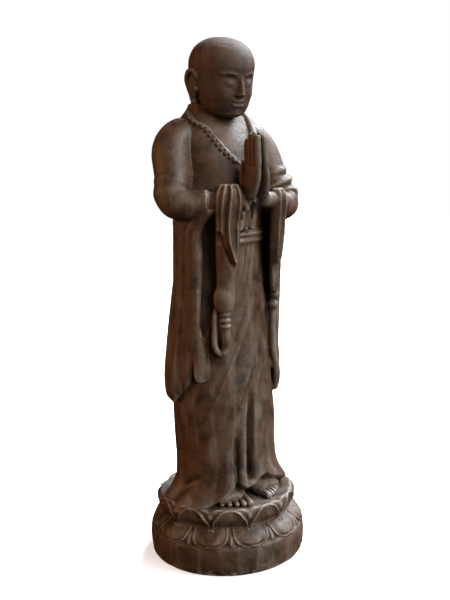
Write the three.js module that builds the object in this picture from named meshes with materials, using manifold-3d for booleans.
// A standing monk with palms together on a lotus base, cast in one piece of stained stone.
// Millimetres, +Z up. The monk faces -Y, the monk's left hand is towards +X, and the origin is
// the middle of the underside. Angles round the body start at the front and turn towards +X.
import * as THREE from "three";
import { mergeVertices } from "three/addons/utils/BufferGeometryUtils.js";
import Module from "manifold-3d";

const wasm = await Module();
wasm.setup();

// Driving dimensions
const HEIGHT = 1000;
const BASE_RADIUS = 153;
const BASE_HEIGHT = 121;
const BAND_HEIGHT = 58;
const PETALS = 11;
const BELT_Z = 633;
const WRIST = new THREE.Vector3(20, -124, 706);
const HANDS_Y = -132;
const HAND_LONG = 120;
const HEAD_TALL = 140;
const HEAD_X = 4;
const HEAD_Y = -29;
const HEAD_TILT = THREE.MathUtils.degToRad(13);

// The arms as built on the left: the right one is mirrored. The left one is carried lower and
// further forward, and its pleats hang shorter and further out, beside the bare wrist. The pleats
// end in a gathered lobe on the right and in a knotted strip on the left.
const RIGHT_ARM = {
  shoulder: new THREE.Vector3(96, -4, 801),
  elbow: new THREE.Vector3(122, -42, 703),
  sleeveFoot: 322,
  pleatShift: new THREE.Vector3(),
  pleatBacking: 14,
  pleatReach: 1,
  pleatEnd: gatheredEnd,
};
const LEFT_ARM = {
  shoulder: new THREE.Vector3(96, -8, 794),
  elbow: new THREE.Vector3(121, -56, 686),
  sleeveFoot: 282,
  pleatShift: new THREE.Vector3(26, 13, -14),
  pleatBacking: 0,
  pleatReach: 0.86,
  pleatEnd: knottedStrip,
};

const STAINED_STONE = new THREE.MeshStandardMaterial({ color: 0x4a2f1f, roughness: 0.55, metalness: 0 });

const { clamp, lerp, smoothstep, degToRad, radToDeg, euclideanModulo } = THREE.MathUtils;
const TURN = Math.PI * 2;
const LEFT = 1;
const RIGHT = -1;

// Values that run smoothly through [position, value, value, ...] stations.
function through(stations) {
  const positions = stations.map((station) => station[0]);
  const values = stations.flatMap((station) => station.slice(1));
  const curve = new THREE.CubicInterpolant(positions, values, stations[0].length - 1);
  const first = positions[0];
  const last = positions[positions.length - 1];
  return (position) => [...curve.evaluate(clamp(position, first, last))];
}

// A soft hump of height 1 at zero that has died away at twice the width.
const hump = (distance, width) => Math.exp(-((distance / width) ** 2));

// A step from 1 down to 0 as the value passes from one mark to the next.
const fadeOut = (value, from, to) => 1 - smoothstep(value, from, to);

// How far an angle lies from another, the short way round.
const angleBetween = (angle, other) => euclideanModulo(angle - other + Math.PI, TURN) - Math.PI;

// Even steps from one value to another, both ends included.
const steps = (from, to, count) => Array.from({ length: count + 1 }, (_, i) => lerp(from, to, i / count));

// A closed body from rings of points: pointAt(level, turn) gives a point, turn running from 0 to 1.
// Each four-sided facet is split along its shorter diagonal.
function loft(pointAt, levels, around) {
  const rings = levels.map((level) =>
    Array.from({ length: around }, (_, step) => pointAt(level, step / around)),
  );
  const points = rings.flat();
  const triangles = [];
  for (let ring = 0; ring < rings.length - 1; ring++) {
    for (let step = 0; step < around; step++) {
      const next = (step + 1) % around;
      const a = ring * around + step;
      const b = ring * around + next;
      const rising = points[a].distanceTo(points[b + around]);
      const falling = points[b].distanceTo(points[a + around]);
      if (rising < falling) triangles.push(a, b, b + around, a, b + around, a + around);
      else triangles.push(a, b, a + around, b, b + around, a + around);
    }
  }
  for (const ring of [0, rings.length - 1]) {
    const middle = rings[ring].reduce((sum, point) => sum.add(point), new THREE.Vector3());
    const centre = points.push(middle.divideScalar(around)) - 1;
    for (let step = 0; step < around; step++) {
      const a = ring * around + step;
      const b = ring * around + ((step + 1) % around);
      triangles.push(...(ring === 0 ? [centre, b, a] : [centre, a, b]));
    }
  }
  const geometry = new THREE.BufferGeometry().setFromPoints(points);
  geometry.setIndex(triangles);
  return geometry;
}

// A round limb along a curve, its radius through [share of the length, radius] stations.
function limb(points, radii, count, around) {
  const curve = new THREE.CatmullRomCurve3(points, false, "centripetal");
  const frames = curve.computeFrenetFrames(count, false);
  const radiusAt = through(radii);
  return loft(
    (level, turn) => {
      const at = Math.round(level * count);
      const [radius] = radiusAt(level);
      return curve
        .getPointAt(level)
        .addScaledVector(frames.normals[at], radius * Math.cos(turn * TURN))
        .addScaledVector(frames.binormals[at], radius * Math.sin(turn * TURN));
    },
    steps(0, 1, count),
    around,
  );
}

// A ball stretched to three half sizes, turned and moved.
function ball(halfSizes, at, turned = new THREE.Euler(), around = 6, rings = 4) {
  const geometry = new THREE.SphereGeometry(1, around, rings);
  const turn = new THREE.Quaternion().setFromEuler(turned);
  return geometry.applyMatrix4(new THREE.Matrix4().compose(at, turn, halfSizes));
}

// The same form on the other side of the body.
const mirrored = (geometry) => geometry.clone().applyMatrix4(new THREE.Matrix4().makeScale(-1, 1, 1));

// A closed geometry as a solid, with its faces turned out.
function solidOf(geometry) {
  geometry.deleteAttribute("normal");
  geometry.deleteAttribute("uv");
  const merged = mergeVertices(geometry, 1e-3);
  const vertProperties = merged.attributes.position.array;
  const triVerts = new Uint32Array(merged.index.array);
  const made = new wasm.Manifold(new wasm.Mesh({ numProp: 3, vertProperties, triVerts }));
  if (made.volume() > 0) return made;
  for (let i = 0; i < triVerts.length; i += 3) {
    [triVerts[i + 1], triVerts[i + 2]] = [triVerts[i + 2], triVerts[i + 1]];
  }
  return new wasm.Manifold(new wasm.Mesh({ numProp: 3, vertProperties, triVerts }));
}

// A joined solid as a geometry.
function geometryOf(solid) {
  const mesh = solid.getMesh();
  const geometry = new THREE.BufferGeometry();
  geometry.setAttribute("position", new THREE.BufferAttribute(mesh.vertProperties, 3));
  geometry.setIndex(new THREE.BufferAttribute(mesh.triVerts, 1));
  geometry.computeVertexNormals();
  return geometry;
}

// Lotus base: a plain band, a ring of hanging petals, a waist and a ring of upright petals.
const PETAL_RELIEF = 7;
const PETAL_STEPS = 6;
const PETAL_HALF = 0.44;
const WAIST_Z = 88;
const baseRadius = through([
  [0, BASE_RADIUS - 6],
  [4, BASE_RADIUS - 2],
  [10, BASE_RADIUS],
  [BAND_HEIGHT - 3, BASE_RADIUS],
  [BAND_HEIGHT + 4, BASE_RADIUS - 3],
  [BAND_HEIGHT + 12, BASE_RADIUS - 9],
  [WAIST_Z - 8, BASE_RADIUS - 22],
  [WAIST_Z, BASE_RADIUS - 31],
  [WAIST_Z + 6, BASE_RADIUS - 25],
  [WAIST_Z + 18, BASE_RADIUS - 19],
  [BASE_HEIGHT - 5, BASE_RADIUS - 20],
  [BASE_HEIGHT, BASE_RADIUS - 25],
]);
const BAND_LEVELS = [0, 4, 10, BAND_HEIGHT - 3];
const PETAL_LEVELS = [BAND_HEIGHT + 2, 67, 77, WAIST_Z, 96, 107, 116, BASE_HEIGHT];

// Petal relief, 1 on it and 0 beside it, at a share of its pitch (-0.5 to 0.5)
// and of its length from the tip.
function petal(across, along) {
  const halfWidth = PETAL_HALF * Math.sqrt(clamp(1 - (1 - along) ** 2.4, 0, 1));
  return fadeOut(Math.abs(across), halfWidth - 0.06, halfWidth + 0.07);
}

function lotusBase() {
  const acrossPetal = (angle, shift) => angleBetween(angle * PETALS, shift * TURN) / TURN;
  return loft(
    (z, turn) => {
      const angle = turn * TURN;
      let [radius] = baseRadius(z);
      if (z > BAND_HEIGHT && z < WAIST_Z) {
        const along = (z - BAND_HEIGHT) / (WAIST_Z - BAND_HEIGHT);
        radius += PETAL_RELIEF * (petal(acrossPetal(angle, 0.5), along) - 1);
      } else if (z > WAIST_Z && z < BASE_HEIGHT) {
        const along = (BASE_HEIGHT - z) / (BASE_HEIGHT - WAIST_Z);
        radius += PETAL_RELIEF * (petal(acrossPetal(angle, 0), along) - 1);
      }
      return new THREE.Vector3(radius * Math.sin(angle), -radius * Math.cos(angle), z);
    },
    [...BAND_LEVELS, ...PETAL_LEVELS],
    PETALS * PETAL_STEPS,
  );
}

// Robe: height, half width, depth in front of the middle and depth behind it.
const HEM_Z = 116;
const HEM_STRETCH_Z = 190;
const ROBE_TOP_Z = 882;
const ROBE_AROUND = 32;
const robeSection = through([
  [HEM_Z - 6, 126, 98, 118],
  [132, 114, 94, 106],
  [160, 104, 91, 96],
  [200, 101, 89, 92],
  [260, 102, 88, 91],
  [320, 103, 88, 90],
  [430, 99, 86, 87],
  [540, 92, 84, 82],
  [BELT_Z, 88, 82, 78],
  [700, 86, 84, 76],
  [760, 88, 84, 78],
  [800, 88, 74, 78],
  [830, 82, 58, 72],
  [848, 72, 47, 62],
  [862, 58, 41, 55],
  [872, 49, 38, 51],
  [ROBE_TOP_Z, 44, 37, 47],
]);

// Cloth bunched under the arms.
const BUNCH_PROUD = 11;
const BUNCH_Z = 690;
const BUNCH_ANGLE = degToRad(66);

// Cloth spread out low down, on the base beside the right foot and over the left one.
const SPREADS = [
  { out: 13, fade: [HEM_Z + 6, HEM_Z + 40], middle: degToRad(-84), half: degToRad(34) },
  { out: 14, fade: [HEM_Z + 27, HEM_Z + 82], middle: degToRad(52), half: degToRad(30) },
];
const spreadAt = (angle, z) =>
  SPREADS.reduce((sum, { out, fade, middle, half }) => {
    const beside = angleBetween(angle, middle);
    return sum + out * fadeOut(z, ...fade) * hump(beside, half);
  }, 0);

// The belt shows in front, between the hanging sleeves.
const BELT_PROUD = 5;
const BELT_HALF = 9;
const BELT_MIDDLE = degToRad(14);
const BELT_ENDS = [degToRad(47), degToRad(58)];

// Folds that stand out of the skirt: angle in degrees and height at the top and at the foot, width, depth.
const SKIRT_FOLDS = [
  { top: [30, 520], foot: [-42, 190], width: 18, depth: 5 },
  { top: [48, 470], foot: [-12, 170], width: 17, depth: 5 },
  { top: [3, 350], foot: [-3, 180], width: 9, depth: -16 },
  { top: [-17, 280], foot: [-20, 130], width: 8, depth: -7 },
  { top: [16, 330], foot: [14, 130], width: 11, depth: 5 },
  { top: [42, 330], foot: [46, 130], width: 12, depth: -6 },
  { top: [78, 420], foot: [88, 130], width: 14, depth: 7 },
  { top: [-70, 300], foot: [-64, 130], width: 16, depth: 4 },
  { top: [130, 640], foot: [122, 130], width: 17, depth: 6 },
  { top: [160, 660], foot: [164, 130], width: 18, depth: -6 },
  { top: [192, 650], foot: [196, 130], width: 17, depth: 6 },
  { top: [226, 640], foot: [236, 130], width: 17, depth: -6 },
];

// Height of the folds at an angle and a height, where the robe has a given mean radius.
function foldsAt(angle, z, radius) {
  return SKIRT_FOLDS.reduce((sum, { top, foot, width, depth }) => {
    const share = (top[1] - z) / (top[1] - foot[1]);
    const line = degToRad(lerp(top[0], foot[0], clamp(share, -0.1, 1.1)));
    const fade = smoothstep(share, 0, 0.35) * fadeOut(share, 1, 1.3);
    return sum + depth * fade * hump(angleBetween(angle, line) * radius, width);
  }, 0);
}

// Where the hem hangs, by the angle in degrees: down on the base at the sides and the back,
// higher over the feet.
const hemLine = through([
  [-72, HEM_Z - 6],
  [-50, 121],
  [-30, 138],
  [-20, 157],
  [-4, 150],
  [12, 166],
  [29, 153],
  [49, 138],
  [62, 126],
  [86, HEM_Z - 6],
]);
const hemAt = (angle) => hemLine(radToDeg(angleBetween(angle, 0)))[0];

// A point of the robe's surface, standing out by an extra distance.
function robePoint(angle, z, proud = 0) {
  const [halfWidth, front, behind] = robeSection(z);
  const depth = lerp(behind, front, smoothstep(Math.cos(angle), -0.6, 0.6));
  const beltHeight = fadeOut(Math.abs(z - BELT_Z), BELT_HALF - 2, BELT_HALF + 2);
  const belt = BELT_PROUD * beltHeight * fadeOut(Math.abs(angleBetween(angle, BELT_MIDDLE)), ...BELT_ENDS);
  const besideBunch = Math.abs(Math.abs(angleBetween(angle, 0)) - BUNCH_ANGLE);
  const bunch = BUNCH_PROUD * hump(z - BUNCH_Z, 45) * hump(besideBunch, 0.5);
  const out = proud + belt + bunch + spreadAt(angle, z) + foldsAt(angle, z, (halfWidth + depth) / 2);
  return new THREE.Vector3((halfWidth + out) * Math.sin(angle), -(depth + out) * Math.cos(angle), z);
}

function robe() {
  const skirtLevels = [HEM_Z, ...steps(134, 540, 9)];
  const beltLevels = [-3, 3].flatMap((edge) => [BELT_Z - BELT_HALF + edge, BELT_Z + BELT_HALF + edge]);
  const chestLevels = [700, 750, 790, 820, 842, 860, ROBE_TOP_Z];
  const frontCrowding = 0.42;
  const hemSlope = 0.01;
  return loft(
    (z, turn) => {
      const angle = turn * TURN - frontCrowding * Math.sin(turn * TURN);
      const lifted = Math.max(z, hemAt(angle)) + (z - HEM_Z) * hemSlope;
      return robePoint(angle, z < HEM_STRETCH_Z ? lifted : z);
    },
    [...skirtLevels, ...beltLevels.sort((low, high) => low - high), ...chestLevels],
    ROBE_AROUND,
  );
}

// Sleeved arm: from the neck over the shoulder and round the elbow to the cuff, and the wrist in it.
const CUFF_AT = 0.52;

function arm({ shoulder, elbow }) {
  const cuff = elbow.clone().lerp(WRIST, CUFF_AT);
  const sleeve = limb(
    [
      shoulder.clone().add(new THREE.Vector3(-46, 8, 34)),
      shoulder.clone().add(new THREE.Vector3(-19, 5, 21)),
      shoulder,
      shoulder.clone().lerp(elbow, 0.5),
      elbow,
      cuff,
    ],
    [
      [0, 25],
      [0.13, 33],
      [0.28, 36],
      [0.5, 34],
      [0.68, 31],
      [0.85, 28],
      [1, 22],
    ],
    12,
    9,
  );
  const forearm = limb(
    [elbow.clone().lerp(cuff, 0.6), cuff, WRIST],
    [
      [0, 18],
      [0.5, 18],
      [1, 15],
    ],
    3,
    8,
  );
  return [sleeve, forearm];
}

// Hanging sleeve: share of its height, back and front end of its flat section, half its thickness.
const SLEEVE_TOP_Z = 690;
const sleeveSection = through([
  [0, 111, -4, 104, -22, 5],
  [0.03, 114, 4, 102, -28, 10],
  [0.08, 115, 8, 100, -33, 12],
  [0.29, 110, 4, 96, -43, 13],
  [0.5, 105, -10, 94, -50, 14],
  [0.75, 99, -28, 92, -57, 16],
  [0.93, 100, -36, 89, -62, 17],
  [1, 103, -46, 74, -84, 18],
]);
const SLEEVE_LEVELS = [0, 0.03, 0.08, 0.18, 0.3, 0.45, 0.6, 0.8, 0.93, 1];
const SLEEVE_HEM_RISE = 34;
const SLEEVE_HEM_REACH = 0.45;
const SLEEVE_FOLDS = 3;
const SLEEVE_FOLD_DEPTH = 3;

// A place in a flat section with rounded sides: along it and across it as cosine and sine of the turn.
function flatSection(from, to, half, endReach, roundness, turn) {
  const along = to.clone().sub(from);
  const middle = from.clone().add(to).divideScalar(2);
  const reach = along.length() / 2 + half * endReach;
  along.normalize();
  const across = new THREE.Vector2(along.y, -along.x);
  const cos = Math.cos(turn * TURN);
  const sin = Math.sin(turn * TURN);
  const side = Math.sign(sin) * Math.abs(sin) ** roundness;
  const place = middle.addScaledVector(along, cos * reach).addScaledVector(across, side * half);
  return { cos, sin, across, place };
}

function hangingSleeve({ sleeveFoot }) {
  return loft(
    (level, turn) => {
      const [backX, backY, frontX, frontY, half] = sleeveSection(level);
      const back = new THREE.Vector2(backX, backY);
      const front = new THREE.Vector2(frontX, frontY);
      const { cos, sin, across, place } = flatSection(back, front, half, 1, 0.75, turn);
      place.addScaledVector(across, SLEEVE_FOLD_DEPTH * sin * Math.cos(cos * Math.PI * SLEEVE_FOLDS));
      const rise = (SLEEVE_HEM_RISE * (1 + cos) * fadeOut(level, 0, SLEEVE_HEM_REACH)) / 2;
      return new THREE.Vector3(place.x, place.y, lerp(sleeveFoot, SLEEVE_TOP_Z, level) + rise);
    },
    SLEEVE_LEVELS,
    12,
  );
}

// Cascade of the inner sleeve: pleats that fall from the forearm in front to a slanted hem,
// gathered low down.
const CASCADE_TOP_Z = 734;
const GATHER_Z = 506;
const cascadeSection = through([
  [GATHER_Z, 55, -84, 45, -93, 8],
  [GATHER_Z + 14, 60, -83, 41, -97, 10],
  [560, 58, -86, 40, -100, 11],
  [600, 59, -88, 36, -107, 12],
  [660, 59, -93, 35, -113, 13],
  [CASCADE_TOP_Z - 12, 59, -97, 33, -120, 13],
  [CASCADE_TOP_Z, 54, -99, 36, -117, 7],
]);
const CASCADE_LEVELS = [GATHER_Z, GATHER_Z + 14, 570, 596, 620, 644, 680, CASCADE_TOP_Z - 12, CASCADE_TOP_Z];
const PLEATS = 7;
const PLEAT_DEPTH = 4;
const PLEAT_PROUD = 5;
const PLEAT_HEM_Z = 618;
const PLEAT_HEM_FALL = 31;
const PLEAT_HEM_HALF = 8;

function cascade({ pleatShift, pleatBacking, pleatReach }) {
  return loft(
    (level, turn) => {
      const z = CASCADE_TOP_Z - (CASCADE_TOP_Z - level) * pleatReach;
      const [outX, outY, inX, inY, half] = cascadeSection(level);
      const outer = new THREE.Vector2(outX, outY);
      const inner = new THREE.Vector2(inX, inY);
      const { cos, sin, across, place } = flatSection(outer, inner, half, 0.5, 0.7, turn);
      const hem = PLEAT_HEM_Z - PLEAT_HEM_FALL * cos;
      const pleated = smoothstep(z, hem - PLEAT_HEM_HALF, hem + PLEAT_HEM_HALF) * Math.max(0, -sin);
      const ridge = PLEAT_DEPTH * Math.cos(turn * TURN * PLEATS) + PLEAT_PROUD;
      place.addScaledVector(across, pleatBacking * Math.max(0, sin) - pleated * ridge);
      return new THREE.Vector3(place.x, place.y, z).add(pleatShift);
    },
    CASCADE_LEVELS,
    PLEATS * 2,
  );
}

// Gathered end of the right cascade: a lobe, a tie of three rings and a tail with a turned-up end.
const GATHER_AT = new THREE.Vector2(53, -89);
const GATHER_TURN = degToRad(38);
const GATHER_FLATNESS = 0.75;
const TAIL_Z = 418;
const TIE_Z = 472;
const TIE_PITCH = 11;

function gatheredEnd() {
  const rings = [0, 1, 2].flatMap((ring) => [
    [13, TIE_Z + ring * TIE_PITCH],
    [10, TIE_Z + (ring + 0.5) * TIE_PITCH],
  ]);
  const outline = [[0, TAIL_Z], [8, TAIL_Z - 2], [11, TAIL_Z + 14], [9, TIE_Z - 6], ...rings];
  outline.push([20, 514], [23, 532], [18, 552], [0, 566]);
  const profile = outline.map(([radius, z]) => new THREE.Vector2(radius, z));
  const lobe = new THREE.LatheGeometry(profile, 6);
  lobe.rotateX(Math.PI / 2);
  lobe.scale(1, GATHER_FLATNESS, 1);
  lobe.rotateZ(GATHER_TURN);
  return [lobe.translate(GATHER_AT.x, GATHER_AT.y, 0)];
}

// Strip that hangs from the left cascade, knotted at the top and swung out at the foot of the sleeve.
function knottedStrip() {
  const strip = limb(
    [
      new THREE.Vector3(81, -72, 548),
      new THREE.Vector3(75, -70, 470),
      new THREE.Vector3(76, -68, 410),
      new THREE.Vector3(92, -57, 352),
      new THREE.Vector3(92, -50, 318),
    ],
    [
      [0, 6],
      [0.6, 7],
      [0.85, 9],
      [1, 5],
    ],
    7,
    7,
  );
  const knot = ball(new THREE.Vector3(10, 9, 20), new THREE.Vector3(78, -75, 508));
  return [strip, knot];
}

// Lining of the hanging sleeve: a second layer of cloth that shows between its front edge and the skirt.
const LINING_HALF = new THREE.Vector3(15, 9, 82);
const LINING_AT = new THREE.Vector3(87, -57, 448);
const LINING_TURN = new THREE.Euler(0, 0, degToRad(14));

const lining = () => ball(LINING_HALF, LINING_AT, LINING_TURN);

// Hands: palm, four fingers and a thumb each, pressed together on the middle plane.
const PALM_HALF = 9;
const PALM_SHARE = 0.5;
const FINGER_RADIUS = 6.2;
const FINGER_PITCH = 10.2;
const FINGER_LENGTHS = [0.9, 1, 0.96, 0.82];

function hand() {
  const palmTop = WRIST.z + HAND_LONG * PALM_SHARE;
  const palm = limb(
    [
      new THREE.Vector3(WRIST.x - 2, WRIST.y + 4, WRIST.z - 4),
      new THREE.Vector3(PALM_HALF + 3, HANDS_Y + 4, WRIST.z + 22),
      new THREE.Vector3(PALM_HALF, HANDS_Y + 2, palmTop),
    ],
    [
      [0, 15],
      [0.4, 17],
      [1, 15],
    ],
    3,
    8,
  );
  palm.translate(-PALM_HALF, -HANDS_Y - 2, 0).scale(0.62, 1.45, 1).translate(PALM_HALF, HANDS_Y + 2, 0);
  const fingers = FINGER_LENGTHS.map((share, finger) => {
    const y = HANDS_Y - 15 + finger * FINGER_PITCH;
    const tip = palmTop + HAND_LONG * (1 - PALM_SHARE) * share;
    return limb(
      [
        new THREE.Vector3(PALM_HALF, y, palmTop - 14),
        new THREE.Vector3(PALM_HALF - 1, y, (palmTop + tip) / 2),
        new THREE.Vector3(FINGER_RADIUS - 1, lerp(y, HANDS_Y, 0.2), tip),
      ],
      [
        [0, FINGER_RADIUS],
        [0.75, FINGER_RADIUS * 0.95],
        [1, FINGER_RADIUS * 0.5],
      ],
      3,
      6,
    );
  });
  const thumb = limb(
    [
      new THREE.Vector3(PALM_HALF, HANDS_Y + 20, WRIST.z + 20),
      new THREE.Vector3(PALM_HALF, HANDS_Y + 30, WRIST.z + 44),
      new THREE.Vector3(FINGER_RADIUS, HANDS_Y + 27, WRIST.z + 72),
    ],
    [
      [0, 9],
      [0.7, 7],
      [1, 3],
    ],
    3,
    6,
  );
  return [palm, ...fingers, thumb];
}

// Foot: an instep that comes out from under the hem, and five toes.
const STANCE_MIDDLE = 5;
const STANCE_HALF = 34;
const RIGHT_FOOT_AHEAD = 8;
const TOES_Y = -86;
const TOE_OUT = degToRad(9);
const BIG_TOE = 9;

function foot(side) {
  const instep = limb(
    [
      new THREE.Vector3(0, -20, BASE_HEIGHT + 26),
      new THREE.Vector3(0, -52, BASE_HEIGHT + 19),
      new THREE.Vector3(0, TOES_Y + 6, BASE_HEIGHT + 7),
    ],
    [
      [0, 27],
      [0.5, 25],
      [1, 15],
    ],
    3,
    10,
  );
  instep.scale(1.25, 1, 1);
  const toes = steps(0, 1, 4).map((share) => {
    const radius = share === 0 ? BIG_TOE : lerp(7, 5.5, share);
    const across = side * lerp(-22, 21, share);
    const at = new THREE.Vector3(across, TOES_Y - 8 + BIG_TOE * share ** 2, BASE_HEIGHT + radius * 0.8);
    return ball(new THREE.Vector3(radius * 0.85, radius * 1.7, radius), at);
  });
  const ahead = side === RIGHT ? RIGHT_FOOT_AHEAD : 0;
  return [instep, ...toes].map((form) =>
    form.rotateZ(side * TOE_OUT).translate(STANCE_MIDDLE + side * STANCE_HALF, -ahead, 0),
  );
}

// Head: share of the height above its middle, half width, depth of the face and depth behind.
const headSection = through([
  [-0.5, 8, 34, -8],
  [-0.47, 24, 50, 4],
  [-0.38, 41, 58, 26],
  [-0.25, 51, 60, 48],
  [-0.1, 56, 60, 62],
  [0.05, 58, 60, 70],
  [0.2, 58, 60, 70],
  [0.34, 51, 51, 60],
  [0.43, 38, 37, 44],
  [0.48, 22, 21, 26],
  [0.5, 7, 6, 8],
]);
const FACE_LEVELS = [-0.5, -0.46, -0.38, -0.33, -0.29, -0.23, -0.18, -0.1, -0.02, 0.06];
const CROWN_LEVELS = [0.16, 0.27, 0.37, 0.45, 0.5];

// How far the face stands out of the plain head, at a place across it and a share of the head's height.
function faceRelief(x, level) {
  const noseSpan = smoothstep(level, -0.23, -0.17) * fadeOut(level, -0.16, 0.08);
  const nose = 13 * hump(x, 7 + 24 * Math.max(0, -level)) * noseSpan;
  const sockets = -4.5 * (hump(x - 23, 13) + hump(x + 23, 13)) * hump(level + 0.005, 0.055);
  const lips = 4 * hump(x, 15) * hump(level + 0.305, 0.045);
  const chin = 3 * hump(x, 16) * hump(level + 0.44, 0.05);
  return nose + sockets + lips + chin;
}

function head() {
  const frontCrowding = 0.5;
  const skull = loft(
    (level, turn) => {
      const angle = turn * TURN - frontCrowding * Math.sin(turn * TURN);
      const [halfWidth, face, behind] = headSection(level);
      const depth = Math.cos(angle) > 0 ? face : behind;
      const x = halfWidth * Math.sin(angle);
      const relief = faceRelief(x, level) * smoothstep(Math.cos(angle), 0.2, 0.7);
      return new THREE.Vector3(x, -depth * Math.cos(angle) - relief, level * HEAD_TALL);
    },
    [...FACE_LEVELS, ...CROWN_LEVELS],
    22,
  );
  const earLean = new THREE.Euler(0.15, 0, 0);
  const ears = [LEFT, RIGHT].flatMap((side) => [
    ball(new THREE.Vector3(7, 14, 24), new THREE.Vector3(side * 58, 8, -16), earLean, 6, 5),
    ball(new THREE.Vector3(6, 9, 14), new THREE.Vector3(side * 56, 4, -38), earLean),
  ]);
  skull.rotateX(HEAD_TILT).computeBoundingBox();
  const lift = HEIGHT - skull.boundingBox.max.z;
  ears.forEach((ear) => ear.rotateX(HEAD_TILT));
  return [skull, ...ears].map((form) => form.translate(HEAD_X, HEAD_Y, lift));
}

function neck() {
  const line = [new THREE.Vector3(0, 4, 840), new THREE.Vector3(0, -2, 880), new THREE.Vector3(0, -8, 916)];
  const radii = [
    [0, 44],
    [1, 42],
  ];
  return limb(line, radii, 3, 12);
}

// Bead string along the robe's edge, from beside the neck down to the hands: angle in degrees and height.
const BEAD_RADIUS = 4.6;
const BEAD_PITCH = 11;
const BEAD_SEAT = 1.5;
const BEAD_LINE = [
  [-92, 866],
  [-58, 848],
  [-39, 836],
  [-30, 818],
  [-20, 795],
  [-5, 774],
];

function beads() {
  const places = BEAD_LINE.map(([angle, z]) => robePoint(degToRad(angle), z, BEAD_SEAT));
  const line = new THREE.CatmullRomCurve3(places);
  const count = Math.floor(line.getLength() / BEAD_PITCH);
  const bead = new THREE.OctahedronGeometry(BEAD_RADIUS);
  return line.getSpacedPoints(count).map((at) => bead.clone().translate(...at));
}

// Lapel over the left shoulder, a band that runs from the neck to the hands: angle in degrees and height.
const LAPEL_LINE = [
  [112, 866],
  [72, 856],
  [42, 826],
  [22, 786],
  [8, 740],
  [3, 700],
];

function lapel() {
  const places = LAPEL_LINE.map(([angle, z]) => robePoint(degToRad(angle), z));
  const radii = [
    [0, 7],
    [0.3, 10],
    [0.7, 10],
    [1, 8],
  ];
  return limb(places, radii, 8, 7);
}

// Sash knot above the belt: a knot with an upright loop on each side and a tail between them.
const KNOT_RISE = 58;
const KNOT_PROUD = 11;

function sashKnot() {
  const { y, z } = robePoint(0, BELT_Z + KNOT_RISE, KNOT_PROUD);
  const knot = ball(new THREE.Vector3(8, 10, 10), new THREE.Vector3(0, y, z));
  const tail = ball(new THREE.Vector3(6, 12, 26), new THREE.Vector3(0, y + 5, z - 22));
  const loops = [LEFT, RIGHT].map((side) =>
    ball(new THREE.Vector3(8, 14, 27), new THREE.Vector3(side * 14, y + 4, z - 14), new THREE.Euler(), 8),
  );
  return [knot, tail, ...loops];
}

const sideForms = (side) => [
  ...arm(side),
  hangingSleeve(side),
  lining(),
  cascade(side),
  ...side.pleatEnd(),
  ...hand(),
];
const forms = [
  lotusBase(),
  robe(),
  ...sideForms(LEFT_ARM),
  ...sideForms(RIGHT_ARM).map(mirrored),
  ...foot(LEFT),
  ...foot(RIGHT),
  neck(),
  ...head(),
  ...beads(),
  lapel(),
  ...sashKnot(),
];
const casting = forms.map(solidOf).reduce((whole, form) => whole.add(form));

const statue = new THREE.Mesh(geometryOf(casting), STAINED_STONE);
statue.name = "monk_statue";
const monk = new THREE.Group();
monk.add(statue);

export default monk;
